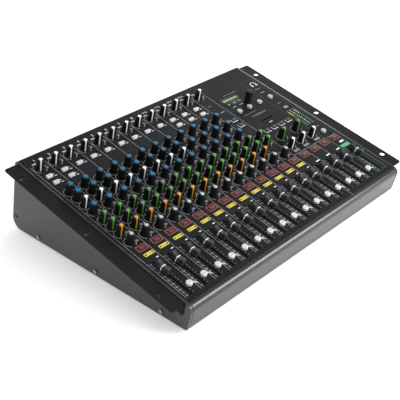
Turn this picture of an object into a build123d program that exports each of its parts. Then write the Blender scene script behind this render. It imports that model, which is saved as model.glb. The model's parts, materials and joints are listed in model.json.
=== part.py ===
from build123d import *
from math import cos, radians, sin, tan
import os

# A desk-top mixing console with rack ears. Millimetres and degrees.
# +X is to the operator's right, +Y away from the operator and +Z up.
# The control panel slopes up towards the back. Places on it are given as (x, s), where s is
# the distance up the slope, and as a height above its face, which is negative inside.

# ---- chassis ----
COLUMN_COUNT = 17
COLUMN_PITCH = 25.0
SIDE_MARGIN = 7.5          # from the outer columns of controls to the chassis sides
CHASSIS_WIDTH = COLUMN_COUNT * COLUMN_PITCH + 2 * SIDE_MARGIN
PANEL_SLOPE = 12.95
FRONT_RISE = 34.7          # height of the panel's face over the chassis bottom where s is 0
FRONT_FACE_S = 10.0
REAR_FACE_S = 331.5
NOSE_RADIUS = 8.0
REAR_TOP_RADIUS = 3.0
REAR_BOTTOM_RADIUS = 14.0
FRONT_BOTTOM_RADIUS = 4.0
CHEEK_THICKNESS = 3.0
SHEET = 2.0                # panel, fascia, rear and base sheets
FASCIA_END_S = 19.0        # where the curved fascia meets the flat panel
BASE_RETURN_HEIGHT = 9.0   # how high the base plate's bent ends reach at the front and back
BASE_FLANGE_HEIGHT = 12.0
BASE_FLANGE_THICKNESS = 1.5
FLANGE_PAST_SCREW = 10.0   # from the outermost cheek screw to the end of the base flange
LOCK_SLOT = (7.0, 3.0)
LOCK_SLOT_INSET = 8.0      # from the rear face
LOCK_SLOT_DEPTH = 90.0     # under the panel's face
FOOT_HEIGHT = 4.0
FOOT_RADIUS = 8.0
FOOT_INSET_X = 30.0
FOOT_INSET_Y = 40.0

# ---- rack ears ----
EAR_WIDTH = 21.3           # with the chassis this makes the 482.6 of a 19 inch rack
EAR_SLOT_INSET = 8.75      # from the ear's outer edge to the middle of its slots
RACK_WIDTH = CHASSIS_WIDTH + 2 * EAR_WIDTH
RACK_SLOT_WIDTH_APART = RACK_WIDTH - 2 * EAR_SLOT_INSET
RACK_SLOT_PITCH = 125.4
RACK_SLOT_LENGTH = 10.0
RACK_SLOT_WIDTH = 7.0
EAR_FRONT_S = 20.8
EAR_REAR_MARGIN = 5.3      # from the ear's end to the rear face
EAR_LENGTH = REAR_FACE_S - EAR_REAR_MARGIN - EAR_FRONT_S
EAR_CENTRE_S = EAR_FRONT_S + EAR_LENGTH / 2
EAR_THICKNESS = 2.0
EAR_DROP = 1.0             # how far the ear's face lies below the panel's
EAR_LEG_DEPTH = 18.0
EAR_CORNER_RADIUS = 3.0
EAR_SCREW_PITCH = 112.0

# ---- columns of controls ----
MONO_COUNT = 8             # columns with four tone knobs
STEREO_COUNT = 4           # columns with three tone knobs
CHANNEL_COUNT = 13         # columns with a gain knob, sends and pan
TWO_BUTTON_COLUMNS = (0, 1, 9, 10, 11)
KNOB_OFFSET_X = -3.0
GAIN_S = 302.0
TONE_BACK_S = 243.4
TONE_FRONT_S = 198.4
SEND_BACK_S = 179.2
SEND_PITCH = 15.0
PAN_S = 131.4
MASTER_X = (CHANNEL_COUNT - (COLUMN_COUNT - 1) / 2) * COLUMN_PITCH    # the first master column

# ---- knobs ----
KNOB_BASE_RADIUS = 5.8
KNOB_TOP_RADIUS = 4.6
KNOB_TOP_HEIGHT = 15.0
KNOB_GAP = 0.8             # air between the panel and a knob's skirt
KNOB_SKIRT = 1.6
KNOB_CAP_THICKNESS = 3.0
TALL_KNOB_BASE_RADIUS = 7.0
TALL_KNOB_TOP_RADIUS = 5.6
TALL_KNOB_TOP_HEIGHT = 16.5
ENCODER_RADIUS = 5.6
ENCODER_TOP_HEIGHT = 20.0
SHAFT_RADIUS = 3.0
SHAFT_CLEARANCE = 0.05
BUSHING_WALL = 0.45
BUSHING_RADIUS = SHAFT_RADIUS + SHAFT_CLEARANCE + BUSHING_WALL
PANEL_CLEARANCE = 0.25
POT_WIDTH = 10.0
POT_LENGTH = 11.0
POT_DEPTH = 7.4            # how far under the panel's face a pot's case begins
MONITOR_KNOB_X = (MASTER_X + 6.5, MASTER_X + 40.5)
MONITOR_KNOB_S = 163.0
OUTPUT_KNOB_OFFSET_X = -0.3
OUTPUT_KNOB_S = 139.8
ENCODER_X = MASTER_X + 32.5
ENCODER_S = 253.0

# ---- buttons ----
CHANNEL_BUTTON = (9.0, 5.0)
CHANNEL_BUTTON_OFFSET_X = -4.0
CHANNEL_BUTTON_S = (281.8, 267.7)
MUTE_BUTTON = (10.0, 4.6)
MUTE_OFFSET_X = 2.0
MUTE_S = 115.8
MUTE_HEIGHT = 1.2
SOLO_RADIUS = 4.2
SOLO_OFFSET_X = 5.2
SOLO_S = 39.8
BUTTON_HEIGHT = 3.0
BUTTON_CORNER_RADIUS = 0.8
ROUND_BUTTON_RADIUS = 4.2
ROUND_BUTTONS = ((0.8, 241.6), (23.6, 241.6), (47.8, 241.6), (73.8, 241.6), (73.8, 135.4))
DARK_BUTTON = (8.0, 5.0)
DARK_BUTTONS = ((0.6, 185.8), (17.0, 185.8), (33.9, 185.8), (50.3, 185.8))
LAST_CHANNEL_BUTTON_OFFSET_X = 2.0
LAST_CHANNEL_BUTTON_S = (232.0, 217.5)
DARK_HEIGHT = 2.0
BUTTON_DEPTH = 4.0         # how far a cap reaches under the panel's face
PLUNGER = 3.0
PLUNGER_LENGTH = 5.0
PLUNGER_CLEARANCE = 0.2
SWITCH_SIZE = 7.0
SWITCH_DEPTH = 7.0

# ---- faders ----
FADER_TRAVEL = 60.0
FADER_LOW_S = 28.9
FADER_REST = 0.75          # share of the travel at which a fader rests, its unity mark
FADER_OFFSET_X = -4.0
MAIN_FADER_OFFSET_X = -1.6
FADER_STEM_WIDTH = 1.2
FADER_STEM_LENGTH = 4.0
FADER_STEM_CLEARANCE = 0.6
FADER_SLOT_WIDTH = FADER_STEM_WIDTH + 2 * FADER_STEM_CLEARANCE
FADER_SLOT_SPARE = 0.5     # past the stem at each end of its travel
FADER_CAP_WIDTH = 9.5
FADER_CAP_LENGTH = 20.5
FADER_CAP_HEIGHT = 9.5
FADER_CAP_GAP = 1.2
FADER_CAP_DIP = 2.6
FADER_CAP_TAPER = 2.0      # how much narrower its top is on each side
FADER_CAP_TAPER_START = 2.0
FADER_CAP_END_LEAN = 1.5
FADER_HOUSING_WIDTH = 9.4
FADER_HOUSING_GAP = 1.0    # under the panel sheet
FADER_HOUSING_TOP = -SHEET - FADER_HOUSING_GAP
FADER_HOUSING_WALL = 1.2
CARRIAGE_CLEARANCE = 0.5
CARRIAGE_WIDTH = FADER_HOUSING_WIDTH - 2 * FADER_HOUSING_WALL - 2 * CARRIAGE_CLEARANCE
CARRIAGE_LENGTH = 7.0
CARRIAGE_HEIGHT = 4.0

# ---- display, meter and card slot ----
DISPLAY_CENTRE = (MASTER_X + 13.0, 268.7)
DISPLAY_SIZE = (34.0, 18.0)
DISPLAY_THICKNESS = 2.0
METER_COLUMNS_X = (MASTER_X + 66.7, MASTER_X + 80.5)
METER_LED_COUNT = 12
METER_FRONT_S = 160.5
METER_BACK_S = 200.0
METER_LED = (4.0, 1.8)
METER_LED_HEIGHT = 0.3
CARD_SLOT_CENTRE = (MASTER_X + 24.8, 206.5)
CARD_SLOT_SIZE = (24.5, 2.4)

# ---- board and supply ----
BOARD_TOP = -14.4
BOARD_THICKNESS = 1.6
BOARD_SIDE_GAP = 8.0
BOARD_WIDTH = CHASSIS_WIDTH - 2 * BOARD_SIDE_GAP
BOARD_FRONT_S = 22.0
BOARD_BACK_S = 312.0
SUPPLY_CENTRE = (130.0, 75.0)
SUPPLY_SIZE = (130.0, 80.0)
SUPPLY_STAND = 6.0
SUPPLY_PILLAR_RADIUS = 3.0
SUPPLY_PILLAR_INSET = 5.0
TRANSFORMER = (38.0, 32.0, 26.0)
TRANSFORMER_X = -35.0      # from the middle of the supply
CAPACITOR_RADIUS = 9.0
CAPACITOR_HEIGHT = 24.0
CAPACITOR_X = 8.0
CAPACITOR_PITCH = 36.0
HEAT_SINK = (8.0, 60.0, 24.0)
HEAT_SINK_X = 42.0

# ---- rear connectors, by their place across the rear and under its top edge ----
FLANGE_THICKNESS = 1.6
FLANGE_CORNER_RADIUS = 3.0
CONNECTOR_SIDE_MARGIN = 22.0
CONNECTOR_COUNT = 10       # an XLR socket with a jack socket under it
CONNECTOR_FIRST_X = -CHASSIS_WIDTH / 2 + CONNECTOR_SIDE_MARGIN
XLR_BODY_RADIUS = 11.8
XLR_FLANGE = (2 * XLR_BODY_RADIUS + 2.4, 2 * XLR_BODY_RADIUS + 7.4)
CONNECTOR_GAP = 1.0
CONNECTOR_PITCH = XLR_FLANGE[0] + CONNECTOR_GAP
XLR_ROW = -36.0
XLR_BODY_LENGTH = 24.0
XLR_PIN_COUNT = 3
XLR_PIN_CIRCLE = 4.8
XLR_PIN_HOLE = 1.6
XLR_PIN_HOLE_DEPTH = 12.0
JACK_ROW = -70.0
JACK_BORE_RADIUS = 3.2
JACK_NOSE_RADIUS = JACK_BORE_RADIUS + 1.8
JACK_NUT_RADIUS = JACK_NOSE_RADIUS + 2.0
JACK_NUT_SIDES = 6
JACK_NUT_THICKNESS = 2.0
JACK_BODY = (14.0, 15.0)
JACK_BODY_LENGTH = 24.0
INLET_X = CHASSIS_WIDTH / 2 - 35.0
INLET_ROW = -38.0
INLET_CAVITY = (25.0, 17.0)
INLET_WALL = 1.0
INLET_CASE = (INLET_CAVITY[0] + 2 * INLET_WALL, INLET_CAVITY[1] + 2 * INLET_WALL)
INLET_FLANGE = (INLET_CASE[0] + 5.0, INLET_CASE[1] + 7.0)
INLET_LENGTH = 20.0
INLET_PIN_INSET = 4.0      # the pins stop this far inside the mouth
INLET_PIN_STAGGER = 2.0    # the middle pin stands above the line of the others
INLET_PIN = (2.0, 4.0)
INLET_PIN_PITCH = 7.0
ROCKER_ROW = -70.0
ROCKER_SIZE = (12.0, 20.0)
ROCKER_DEPTH = 6.0
ROCKER_PROUD = 2.5
ROCKER_CLEARANCE = 0.6
ROCKER_PIVOT_DEPTH = 3.0   # the rocker turns about a line this far inside the rear face
ROCKER_TILT = 6.0          # it rests this far to its off side and turns twice as far to on

# ---- screws ----
SCREW_RADIUS = 1.5
SCREW_HEAD_RADIUS = 3.0
SCREW_HEAD_THICKNESS = 1.4
SCREW_LENGTH = 6.0
CHEEK_SCREW_Y = (-118.0, -2.0, 112.0)
CHEEK_SCREW_RISE = 6.5

# ---- worked out ----
SIN = sin(radians(PANEL_SLOPE))
COS = cos(radians(PANEL_SLOPE))


def raw_point(s, height):
    """(y, z) of a place on the slope, over the chassis bottom and before it is centred."""
    return (s * COS - height * SIN, FRONT_RISE + s * SIN + height * COS)


def rear_extent():
    """The furthest back that the rounded rear bottom corner reaches."""
    corner_y = (REAR_FACE_S + FRONT_RISE * SIN) / COS
    tangent = REAR_BOTTOM_RADIUS / tan(radians(90 - PANEL_SLOPE) / 2)
    return corner_y - tangent + REAR_BOTTOM_RADIUS


def front_extent():
    """The furthest forward that the nose reaches."""
    centre = raw_point(FRONT_FACE_S + NOSE_RADIUS, -NOSE_RADIUS)
    return centre[0] - NOSE_RADIUS


MIDDLE_Y = (front_extent() + rear_extent()) / 2
BEYOND = 2 * REAR_FACE_S    # well outside the chassis, for regions that only choose a side
HALF_WIDTH = CHASSIS_WIDTH / 2
INNER_HALF = HALF_WIDTH - CHEEK_THICKNESS


def point(s, height):
    """(y, z) in the part's frame of a place on the slope."""
    y, z = raw_point(s, height)
    return (y - MIDDLE_Y, z + FOOT_HEIGHT)


def column_x(index):
    return (index - (COLUMN_COUNT - 1) / 2) * COLUMN_PITCH


def panel_plane(height=0.0):
    y, z = point(0, height)
    return Plane(origin=(0, y, z), x_dir=(1, 0, 0), z_dir=(0, -SIN, COS))


def rear_plane(depth=0.0):
    """On the rear face, facing out; its y runs up the face from the top edge, so is negative."""
    y, z = point(REAR_FACE_S - depth, 0)
    return Plane(origin=(0, y, z), x_dir=(-1, 0, 0), z_dir=(0, COS, SIN))


def rear_place(x, row):
    """The rear plane's x runs to the left."""
    return (-x, row)


def finish(name, part):
    part.label = name
    export_step(part, "parts/" + name + ".step")


# ---- places of the controls ----
def gain_places():
    return [(column_x(i) + KNOB_OFFSET_X, GAIN_S) for i in range(CHANNEL_COUNT)]


def tone_places(index):
    """Four rows of knobs in a mono column and three in a stereo one."""
    rows = 4 if index < MONO_COUNT else 3
    step = (TONE_BACK_S - TONE_FRONT_S) / (rows - 1)
    return [(column_x(index) + KNOB_OFFSET_X, TONE_BACK_S - step * row) for row in range(rows)]


def send_places(index):
    """Two sends and an effects send; the last channel column has no effects send."""
    rows = 3 if index < MONO_COUNT + STEREO_COUNT else 2
    return [(column_x(index) + KNOB_OFFSET_X, SEND_BACK_S - SEND_PITCH * row) for row in range(rows)]


def pan_place(index):
    return (column_x(index) + KNOB_OFFSET_X, PAN_S)


def monitor_places():
    return [(x, MONITOR_KNOB_S) for x in MONITOR_KNOB_X]


def output_places():
    columns = range(CHANNEL_COUNT, COLUMN_COUNT - 1)
    return [(column_x(i) + OUTPUT_KNOB_OFFSET_X, OUTPUT_KNOB_S) for i in columns]


def tone_columns(first):
    places = []
    for index in range(first, MONO_COUNT + STEREO_COUNT):
        places += tone_places(index)
    return places


def send_columns(first):
    places = []
    for index in range(first, CHANNEL_COUNT):
        places += send_places(index)
        places.append(pan_place(index))
    return places


def all_knob_places():
    places = gain_places() + tone_columns(0) + send_columns(0)
    return places + monitor_places() + output_places() + [(ENCODER_X, ENCODER_S)]


def channel_button_places():
    places = []
    for index in range(MONO_COUNT + STEREO_COUNT):
        x = column_x(index) + CHANNEL_BUTTON_OFFSET_X
        places.append((x, CHANNEL_BUTTON_S[0]))
        if index in TWO_BUTTON_COLUMNS:
            places.append((x, CHANNEL_BUTTON_S[1]))
    return places


def mute_places():
    return [(column_x(i) + MUTE_OFFSET_X, MUTE_S) for i in range(COLUMN_COUNT)]


def solo_places():
    return [(column_x(i) + SOLO_OFFSET_X, SOLO_S) for i in range(COLUMN_COUNT - 1)]


def round_button_places():
    return [(MASTER_X + x, s) for x, s in ROUND_BUTTONS]


def dark_button_places():
    last_channel_x = column_x(CHANNEL_COUNT - 1) + LAST_CHANNEL_BUTTON_OFFSET_X
    places = [(MASTER_X + x, s) for x, s in DARK_BUTTONS]
    return places + [(last_channel_x, s) for s in LAST_CHANNEL_BUTTON_S]


def all_button_places():
    places = channel_button_places() + mute_places() + solo_places()
    return places + round_button_places() + dark_button_places()


def fader_x(index):
    offset = MAIN_FADER_OFFSET_X if index == COLUMN_COUNT - 1 else FADER_OFFSET_X
    return column_x(index) + offset


FADER_MIDDLE_S = FADER_LOW_S + FADER_TRAVEL / 2
FADER_REST_S = FADER_LOW_S + FADER_TRAVEL * FADER_REST
FADER_SLOT_LENGTH = FADER_TRAVEL + FADER_STEM_LENGTH + 2 * FADER_SLOT_SPARE


def fader_slot_places():
    return [(fader_x(i), FADER_MIDDLE_S) for i in range(COLUMN_COUNT)]


def meter_places():
    step = (METER_BACK_S - METER_FRONT_S) / (METER_LED_COUNT - 1)
    rows = range(METER_LED_COUNT)
    return [(x, METER_FRONT_S + step * row) for x in METER_COLUMNS_X for row in rows]


def connector_places(row):
    numbers = range(CONNECTOR_COUNT)
    return [rear_place(CONNECTOR_FIRST_X + CONNECTOR_PITCH * i, row) for i in numbers]


def cheek_screw_places():
    return [(y, FOOT_HEIGHT + CHEEK_SCREW_RISE) for y in CHEEK_SCREW_Y]


def ear_screw_places():
    along = [EAR_CENTRE_S + EAR_SCREW_PITCH * step for step in (-1, 0, 1)]
    return [point(s, -EAR_LEG_DEPTH / 2) for s in along]


# ---- chassis ----
def outline_corners():
    front_y = (FRONT_FACE_S + FRONT_RISE * SIN) / COS - MIDDLE_Y
    rear_y = (REAR_FACE_S + FRONT_RISE * SIN) / COS - MIDDLE_Y
    return [
        ((front_y, FOOT_HEIGHT), FRONT_BOTTOM_RADIUS),
        (point(FRONT_FACE_S, 0), NOSE_RADIUS),
        (point(REAR_FACE_S, 0), REAR_TOP_RADIUS),
        ((rear_y, FOOT_HEIGHT), REAR_BOTTOM_RADIUS),
    ]


def side_outline():
    """The chassis seen from its side, with its corners rounded; its x is Y and its y is Z."""
    corners = outline_corners()
    with BuildSketch() as outline:
        with BuildLine():
            Polyline([place for place, radius in corners], close=True)
        make_face()
        for place, radius in corners:
            corner = outline.vertices().sort_by_distance((*place, 0))[0]
            fillet(corner, radius)
    return outline.sketch


def wrap_sheet(keep):
    """The stretch of the bent sheet round the chassis that lies inside the keep face."""
    with BuildPart() as wrap:
        with BuildSketch(Plane.YZ):
            add(side_outline())
            offset(side_outline(), amount=-SHEET, mode=Mode.SUBTRACT)
            add(keep, mode=Mode.INTERSECT)
        extrude(amount=INNER_HALF, both=True)
    return wrap.part


def slope_region(low_s, high_s, low_height, high_height):
    """A rectangle in the side view, square to the slope."""
    corners = [(low_s, low_height), (high_s, low_height), (high_s, high_height), (low_s, high_height)]
    with BuildSketch() as region:
        with BuildLine():
            Polyline([point(s, height) for s, height in corners], close=True)
        make_face()
    return region.sketch


def base_region():
    """What lies below the height that the base plate's bent ends reach."""
    with BuildSketch() as region:
        with Locations((0, FOOT_HEIGHT + BASE_RETURN_HEIGHT)):
            Rectangle(2 * BEYOND, BEYOND, align=(Align.CENTER, Align.MAX))
    return region.sketch


def above_base(region):
    with BuildSketch() as kept:
        add(region)
        add(base_region(), mode=Mode.SUBTRACT)
    return kept.sketch


def cut_panel_openings():
    """Every hole in the control panel, as one sketch."""
    with BuildSketch() as holes:
        with Locations(*all_knob_places()):
            Circle(BUSHING_RADIUS + PANEL_CLEARANCE)
        with Locations(*channel_button_places()):
            Rectangle(*[side + 2 * PANEL_CLEARANCE for side in CHANNEL_BUTTON])
        with Locations(*mute_places()):
            Rectangle(*[side + 2 * PANEL_CLEARANCE for side in MUTE_BUTTON])
        with Locations(*solo_places()):
            Circle(SOLO_RADIUS + PANEL_CLEARANCE)
        with Locations(*round_button_places()):
            Circle(ROUND_BUTTON_RADIUS + PANEL_CLEARANCE)
        with Locations(*dark_button_places()):
            Rectangle(*[side + 2 * PANEL_CLEARANCE for side in DARK_BUTTON])
        with Locations(*fader_slot_places()):
            Rectangle(FADER_SLOT_WIDTH, FADER_SLOT_LENGTH)
        with Locations(*meter_places()):
            Rectangle(*METER_LED)
        with Locations(DISPLAY_CENTRE):
            Rectangle(*DISPLAY_SIZE)
        with Locations(CARD_SLOT_CENTRE):
            Rectangle(*CARD_SLOT_SIZE)
    return holes.sketch


def make_control_panel():
    flat = slope_region(FASCIA_END_S, REAR_FACE_S - REAR_TOP_RADIUS, -SHEET, SHEET)
    sheet = wrap_sheet(flat)
    with BuildPart() as control_panel:
        add(sheet)
        with BuildSketch(panel_plane()):
            add(cut_panel_openings())
        extrude(amount=-2 * SHEET, mode=Mode.SUBTRACT)
    finish("control_panel", control_panel.part)


def make_front_fascia():
    front = slope_region(-BEYOND, FASCIA_END_S, -BEYOND, SHEET)
    finish("front_fascia", wrap_sheet(above_base(front)))


def make_rear_panel():
    """The rear sheet, with its rolled top edge and its connector holes."""
    rear = slope_region(REAR_FACE_S - REAR_TOP_RADIUS, BEYOND, -BEYOND, SHEET)
    sheet = wrap_sheet(above_base(rear))
    with BuildPart() as rear_panel:
        add(sheet)
        with BuildSketch(rear_plane()):
            with Locations(*connector_places(XLR_ROW)):
                Circle(XLR_BODY_RADIUS)
            with Locations(*connector_places(JACK_ROW)):
                Circle(JACK_NOSE_RADIUS)
            with Locations(rear_place(INLET_X, INLET_ROW)):
                Rectangle(*INLET_CASE)
            with Locations(rear_place(INLET_X, ROCKER_ROW)):
                Rectangle(*[side + 2 * ROCKER_CLEARANCE for side in ROCKER_SIZE])
        extrude(amount=-2 * SHEET, mode=Mode.SUBTRACT)
    finish("rear_panel", rear_panel.part)


def make_base_plate():
    """The bottom sheet with bent ends, and a flange up each side for the cheek screws."""
    sheet = wrap_sheet(base_region())
    flange_x = INNER_HALF - BASE_FLANGE_THICKNESS / 2
    flange_z = FOOT_HEIGHT + SHEET + BASE_FLANGE_HEIGHT / 2
    flange_length = 2 * (max(abs(y) for y in CHEEK_SCREW_Y) + FLANGE_PAST_SCREW)
    with BuildPart() as base_plate:
        add(sheet)
        with Locations((flange_x, 0, flange_z), (-flange_x, 0, flange_z)):
            Box(BASE_FLANGE_THICKNESS, flange_length, BASE_FLANGE_HEIGHT)
        with BuildSketch(Plane.YZ):
            with Locations(*cheek_screw_places()):
                Circle(SCREW_RADIUS)
        extrude(amount=HALF_WIDTH, both=True, mode=Mode.SUBTRACT)
    finish("base_plate", base_plate.part)


def make_cheek(name, side):
    """A flat end plate with the chassis outline; only the left one has a lock slot."""
    start = INNER_HALF if side > 0 else -HALF_WIDTH
    with BuildPart() as cheek:
        with BuildSketch(Plane.YZ.offset(start)):
            add(side_outline())
        extrude(amount=CHEEK_THICKNESS)
        with BuildSketch(Plane.YZ.offset(start)):
            with Locations(*cheek_screw_places()):
                Circle(SCREW_RADIUS)
            with Locations(*ear_screw_places()):
                Circle(SCREW_RADIUS)
        extrude(amount=CHEEK_THICKNESS, mode=Mode.SUBTRACT)
        if side < 0:
            with BuildSketch(Plane.YZ.offset(start)):
                with Locations(point(REAR_FACE_S - LOCK_SLOT_INSET, -LOCK_SLOT_DEPTH)):
                    SlotOverall(*LOCK_SLOT, rotation=PANEL_SLOPE)
            extrude(amount=CHEEK_THICKNESS, mode=Mode.SUBTRACT)
    finish(name, cheek.part)


def make_rack_ear(name, side):
    """An angle bracket: a slotted flange by the panel and a leg down the cheek."""
    flange_x = side * (HALF_WIDTH + EAR_WIDTH / 2)
    leg_x = side * (HALF_WIDTH + EAR_THICKNESS / 2)
    slot_x = side * RACK_SLOT_WIDTH_APART / 2
    slots = [(slot_x, EAR_CENTRE_S + RACK_SLOT_PITCH * step) for step in (-1, 0, 1)]
    with BuildPart() as ear:
        with BuildSketch(panel_plane(-EAR_DROP)):
            with Locations((flange_x, EAR_CENTRE_S)):
                Rectangle(EAR_WIDTH, EAR_LENGTH)
        extrude(amount=-EAR_THICKNESS)
        outer = ear.edges().filter_by(panel_axis())
        fillet(outer.group_by(Axis.X)[-1 if side > 0 else 0], EAR_CORNER_RADIUS)
        with BuildSketch(panel_plane(-EAR_DROP)):
            with Locations((leg_x, EAR_CENTRE_S)):
                Rectangle(EAR_THICKNESS, EAR_LENGTH)
        extrude(amount=-EAR_LEG_DEPTH)
        with BuildSketch(panel_plane(-EAR_DROP)):
            with Locations(*slots):
                SlotOverall(RACK_SLOT_LENGTH, RACK_SLOT_WIDTH)
        extrude(amount=-EAR_THICKNESS, mode=Mode.SUBTRACT)
        with BuildSketch(Plane.YZ.offset(side * HALF_WIDTH)):
            with Locations(*ear_screw_places()):
                Circle(SCREW_RADIUS)
        extrude(amount=side * EAR_THICKNESS, mode=Mode.SUBTRACT)
    finish(name, ear.part)


def panel_axis():
    """The direction square to the control panel."""
    return Axis((0, 0, 0), (0, -SIN, COS))


def make_feet():
    foot_x = HALF_WIDTH - FOOT_INSET_X
    foot_y = (rear_extent() - front_extent()) / 2 - FOOT_INSET_Y
    with BuildPart() as feet:
        with GridLocations(2 * foot_x, 2 * foot_y, 2, 2):
            Cylinder(FOOT_RADIUS, FOOT_HEIGHT, align=(Align.CENTER, Align.CENTER, Align.MIN))
    finish("feet", feet.part)


def screw_set(plane, places):
    """Pan-head screws with their heads on the plane and their shanks behind it."""
    with BuildPart() as screws:
        with BuildSketch(plane):
            with Locations(*places):
                Circle(SCREW_HEAD_RADIUS)
        extrude(amount=SCREW_HEAD_THICKNESS)
        with BuildSketch(plane):
            with Locations(*places):
                Circle(SCREW_RADIUS)
        extrude(amount=-SCREW_LENGTH)
    return screws.part


def make_screws():
    right = Plane(origin=(0, 0, 0), x_dir=(0, 1, 0), z_dir=(1, 0, 0))
    left = Plane(origin=(0, 0, 0), x_dir=(0, -1, 0), z_dir=(-1, 0, 0))
    rows = ((HALF_WIDTH, cheek_screw_places()), (HALF_WIDTH + EAR_THICKNESS, ear_screw_places()))
    with BuildPart() as screws:
        for distance, places in rows:
            add(screw_set(right.offset(distance), places))
            add(screw_set(left.offset(distance), [(-y, z) for y, z in places]))
    finish("screws", screws.part)


# ---- knobs ----
def knob_solid(base_radius, top_radius, top_height):
    """A tapered knob with a skirt, standing at the origin, bored for its shaft."""
    with BuildPart() as knob:
        with BuildSketch(Plane.XZ):
            with BuildLine():
                Polyline(
                    (SHAFT_RADIUS, KNOB_GAP),
                    (base_radius, KNOB_GAP),
                    (base_radius, KNOB_GAP + KNOB_SKIRT),
                    (top_radius, top_height),
                    (0, top_height),
                    (0, top_height - KNOB_CAP_THICKNESS),
                    (SHAFT_RADIUS, top_height - KNOB_CAP_THICKNESS),
                    close=True,
                )
            make_face()
        revolve(axis=Axis.Z)
    return knob.part


def shaft_solid(top_height):
    """The pot's shaft, from inside its case to the blind end of the knob's bore."""
    with BuildPart() as shaft:
        with BuildSketch(Plane.XY.offset(-POT_DEPTH + SHAFT_CLEARANCE)):
            Circle(SHAFT_RADIUS)
        extrude(amount=top_height - KNOB_CAP_THICKNESS + POT_DEPTH - SHAFT_CLEARANCE)
    return shaft.part


def knob_group(places, base_radius, top_radius, top_height):
    """A knob and its shaft at each place, all separate solids."""
    plane = panel_plane()
    knob = knob_solid(base_radius, top_radius, top_height)
    shaft = shaft_solid(top_height)
    solids = []
    for x, s in places:
        spot = plane.location * Location((x, s, 0))
        solids += [spot * knob.solid(), spot * shaft.solid()]
    return Compound(children=solids)


def make_knob(name, place):
    group = knob_group([place], KNOB_BASE_RADIUS, KNOB_TOP_RADIUS, KNOB_TOP_HEIGHT)
    finish(name, group)


def make_first_strip_knobs():
    make_knob("gain_knob_1", gain_places()[0])
    for number, place in enumerate(tone_places(0), 1):
        make_knob("tone_knob_" + str(number), place)
    for number, place in enumerate(send_places(0), 1):
        make_knob("send_knob_" + str(number), place)
    make_knob("pan_knob_1", pan_place(0))


def make_grouped_knobs():
    shape = (KNOB_BASE_RADIUS, KNOB_TOP_RADIUS, KNOB_TOP_HEIGHT)
    finish("gain_knobs", knob_group(gain_places()[1:], *shape))
    finish("tone_knobs", knob_group(tone_columns(1), *shape))
    finish("send_knobs", knob_group(send_columns(1), *shape))


def make_master_knobs():
    tall = (TALL_KNOB_BASE_RADIUS, TALL_KNOB_TOP_RADIUS, TALL_KNOB_TOP_HEIGHT)
    for number, place in enumerate(monitor_places(), 1):
        finish("monitor_knob_" + str(number), knob_group([place], *tall))
    for number, place in enumerate(output_places(), 1):
        make_knob("output_knob_" + str(number), place)
    encoder = knob_group([(ENCODER_X, ENCODER_S)], ENCODER_RADIUS, ENCODER_RADIUS, ENCODER_TOP_HEIGHT)
    finish("encoder_knob", encoder)


# ---- buttons ----
def button_group(places, cap, height):
    """Caps of one shape, each with a square plunger under it."""
    plane = panel_plane()
    with BuildPart() as button:
        with BuildSketch(Plane.XY.offset(-BUTTON_DEPTH)):
            add(cap)
        extrude(amount=BUTTON_DEPTH + height)
        with BuildSketch(Plane.XY.offset(-BUTTON_DEPTH)):
            Rectangle(PLUNGER, PLUNGER)
        extrude(amount=-PLUNGER_LENGTH)
    solids = [plane.location * Location((x, s, 0)) * button.part.solid() for x, s in places]
    return Compound(children=solids)


def rectangle_cap(size):
    with BuildSketch() as cap:
        RectangleRounded(*size, radius=BUTTON_CORNER_RADIUS)
    return cap.sketch


def round_cap(radius):
    with BuildSketch() as cap:
        Circle(radius)
    return cap.sketch


def make_buttons():
    channel_cap = rectangle_cap(CHANNEL_BUTTON)
    mute_cap = rectangle_cap(MUTE_BUTTON)
    solo_cap = round_cap(SOLO_RADIUS)
    effects_cap = round_cap(ROUND_BUTTON_RADIUS)
    dark_cap = rectangle_cap(DARK_BUTTON)
    finish("channel_buttons", button_group(channel_button_places(), channel_cap, BUTTON_HEIGHT))
    finish("mute_buttons", button_group(mute_places(), mute_cap, MUTE_HEIGHT))
    finish("solo_buttons", button_group(solo_places(), solo_cap, BUTTON_HEIGHT))
    finish("effects_buttons", button_group(round_button_places(), effects_cap, BUTTON_HEIGHT))
    finish("transport_buttons", button_group(dark_button_places(), dark_cap, DARK_HEIGHT))


# ---- housings under the panel ----
def pot_solid():
    """A pot's case with its bushing, bored for the shaft to turn in."""
    bore = SHAFT_RADIUS + SHAFT_CLEARANCE
    with BuildPart() as pot:
        with BuildSketch(Plane.XY.offset(BOARD_TOP)):
            Rectangle(POT_WIDTH, POT_LENGTH)
        extrude(amount=-BOARD_TOP - POT_DEPTH)
        with BuildSketch(Plane.XY.offset(-POT_DEPTH)):
            Circle(BUSHING_RADIUS)
            Circle(bore, mode=Mode.SUBTRACT)
        extrude(amount=POT_DEPTH)
    return pot.part


def switch_solid():
    """A switch's case, open above for the button's plunger."""
    well = PLUNGER + 2 * PLUNGER_CLEARANCE
    with BuildPart() as switch:
        with BuildSketch(Plane.XY.offset(BOARD_TOP)):
            Rectangle(SWITCH_SIZE, SWITCH_SIZE)
        extrude(amount=-BOARD_TOP - SWITCH_DEPTH)
        with BuildSketch(Plane.XY.offset(-SWITCH_DEPTH)):
            Rectangle(well, well)
        extrude(amount=-PLUNGER_LENGTH, mode=Mode.SUBTRACT)
    return switch.part


def make_control_housings():
    plane = panel_plane()
    pot = pot_solid().solid()
    switch = switch_solid().solid()
    solids = [plane.location * Location((x, s, 0)) * pot for x, s in all_knob_places()]
    solids += [plane.location * Location((x, s, 0)) * switch for x, s in all_button_places()]
    finish("control_housings", Compound(children=solids))


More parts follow.
